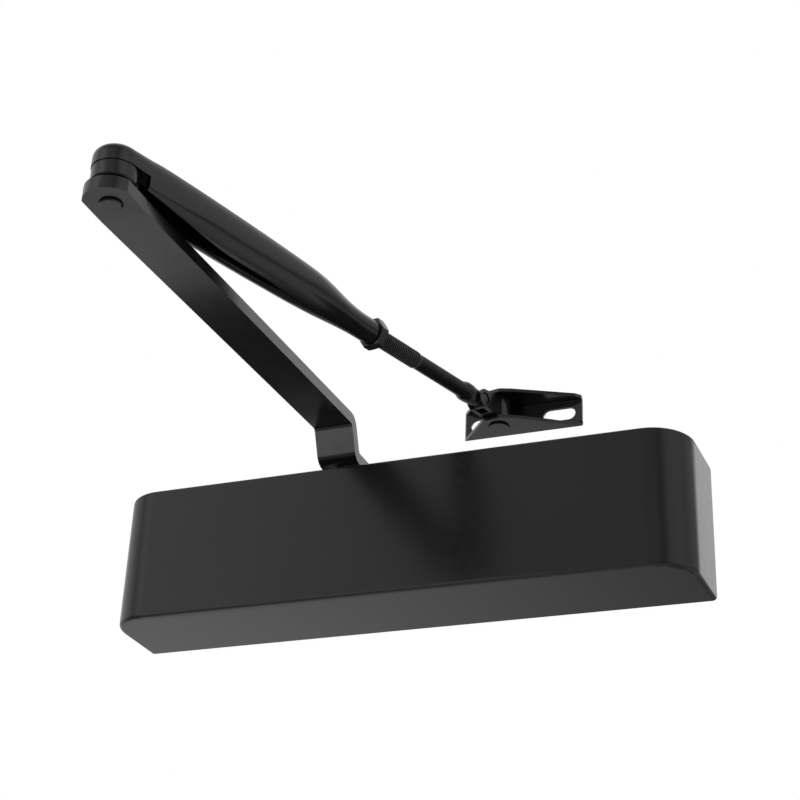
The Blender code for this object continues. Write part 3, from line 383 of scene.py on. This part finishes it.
def make_camera():
    data = bpy.data.cameras.new("camera")
    data.lens = LENS_MM
    data.sensor_width = SENSOR_MM
    data.clip_start = NEAREST_SEEN
    data.clip_end = FARTHEST_SEEN
    camera = bpy.data.objects.new("camera", data)
    bpy.context.scene.collection.objects.link(camera)
    turn = Matrix((CAMERA_RIGHT, CAMERA_UP, CAMERA_BACK)).transposed().to_4x4()
    camera.matrix_world = Matrix.Translation(CAMERA_PLACE) @ turn
    bpy.context.scene.camera = camera


# What the studio shows in each direction from the object: (direction, brightness there, the angle out to
# which it holds, and the angle at which it has faded away). Each one is laid over those before it.
STUDIO_BASE = 0.20
STUDIO_LOBES = [
    ((0.00, 0.35, 0.94), 0.65, 20, 45),
    ((-0.50, -0.79, 0.36), 1.00, 8, 34),
    ((0.05, -0.93, 0.36), 0.45, 14, 34),
    ((0.88, -0.21, 0.41), 0.70, 15, 40),
    ((0.76, 0.33, 0.55), 0.50, 10, 30),
    ((0.17, 0.90, 0.40), 1.05, 8, 30),
    ((-0.80, 0.35, 0.40), 0.70, 25, 60),
    ((-0.72, 0.60, -0.40), 0.62, 8, 40),
    ((-0.38, -0.89, -0.23), 1.50, 5, 15),
    ((0.66, 0.51, -0.55), 0.55, 8, 40),
]
BACKDROP = 1.0      # what the camera sees behind the object
FLOOR_Z = -1.2
FLOOR_HALF = 0.9


def studio_light(tree):
    """Brightness by direction, as soft panels blended over one another."""
    nodes = tree.nodes
    links = tree.links
    direction = nodes.new("ShaderNodeTexCoord").outputs["Generated"]
    level = None
    for towards, brightness, full, faded in STUDIO_LOBES:
        dot = nodes.new("ShaderNodeVectorMath")
        dot.operation = "DOT_PRODUCT"
        dot.inputs[1].default_value = Vector(towards).normalized()
        links.new(direction, dot.inputs[0])
        reach = nodes.new("ShaderNodeMapRange")
        reach.interpolation_type = "SMOOTHSTEP"
        reach.inputs["From Min"].default_value = math.cos(math.radians(faded))
        reach.inputs["From Max"].default_value = math.cos(math.radians(full))
        links.new(dot.outputs["Value"], reach.inputs["Value"])
        mix = nodes.new("ShaderNodeMix")
        mix.data_type = "FLOAT"
        mix.inputs[MIX_SECOND_FLOAT].default_value = brightness
        links.new(reach.outputs["Result"], mix.inputs[MIX_FACTOR])
        if level is None:
            mix.inputs[MIX_FIRST_FLOAT].default_value = STUDIO_BASE
        else:
            links.new(level, mix.inputs[MIX_FIRST_FLOAT])
        level = mix.outputs[MIX_FLOAT_OUT]
    return level


def make_world():
    """A white backdrop for the camera, and soft panels of light for the object."""
    world = bpy.data.worlds.new("studio")
    bpy.context.scene.world = world
    world.use_nodes = True
    tree = world.node_tree
    background = tree.nodes["Background"]
    seen = tree.nodes.new("ShaderNodeLightPath").outputs["Is Camera Ray"]
    mix = tree.nodes.new("ShaderNodeMix")
    mix.data_type = "FLOAT"
    mix.inputs[MIX_SECOND_FLOAT].default_value = BACKDROP
    tree.links.new(seen, mix.inputs[MIX_FACTOR])
    tree.links.new(studio_light(tree), mix.inputs[MIX_FIRST_FLOAT])
    tree.links.new(mix.outputs[MIX_FLOAT_OUT], background.inputs["Strength"])
    background.inputs["Color"].default_value = (1, 1, 1, 1)
    bpy.context.scene.view_settings.view_transform = "Standard"


def make_floor():
    """A pale floor, far below the object as it would hang on a door."""
    bm = bmesh.new()
    bmesh.ops.create_grid(bm, x_segments=1, y_segments=1, size=FLOOR_HALF)
    mesh = bpy.data.meshes.new("floor")
    bm.to_mesh(mesh)
    bm.free()
    floor = bpy.data.objects.new("floor", mesh)
    floor.location = (0, 0, FLOOR_Z)
    bpy.context.scene.collection.objects.link(floor)
    floor.data.materials.append(Shader("pale_floor", (0.85, 0.85, 0.85), 0.8).mat)


make_camera()
make_world()
make_floor()
